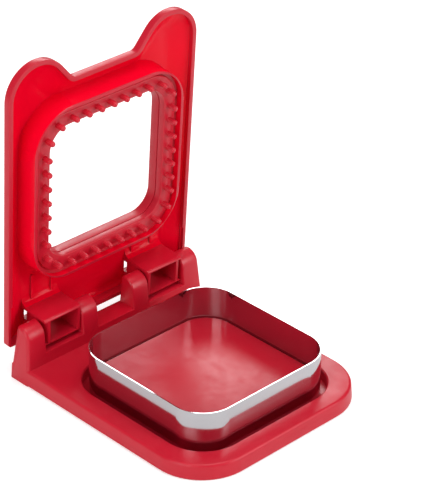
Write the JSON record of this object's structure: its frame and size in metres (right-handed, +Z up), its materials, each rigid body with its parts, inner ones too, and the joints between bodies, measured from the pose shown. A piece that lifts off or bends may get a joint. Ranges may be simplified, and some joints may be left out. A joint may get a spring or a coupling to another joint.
{
  "type": "sandwich_cutter_and_sealer",
  "caption": "Square sandwich cutter and sealer: red plastic base with a steel cutter band and a hinged lid whose ring of pegs crimps the edge",
  "frame": {"origin": "centre of the base's footprint, on the surface that it stands on", "axes": "+Z up, +X along the hinge to the object's right seen from the front, -Y towards the front, where the hand is; the lid is drawn open, as in the picture"},
  "size_m": [0.1214, 0.1483, 0.1732],
  "materials": {
    "red_plastic": "moulded, fine satin gloss",
    "polished_steel": "polished stainless strip",
    "screw_steel": "plain zinc-coloured screws"
  },
  "bodies": {
    "base_body": {"base": "red_plastic", "cutter_band": "polished_steel", "cutter_core": "red_plastic", "core_screws": "screw_steel"},
    "lid_body": {"lid": "red_plastic", "crimp_ring": "red_plastic"}
  },
  "joints": [
    {"name": "lid_hinge", "type": "hinge", "parent": "base_body", "child": "lid_body", "pos_m": [0, 0.0634, 0.0241], "axis": [1, 0, 0], "range_deg": [-12, 86.2]}
  ]
}
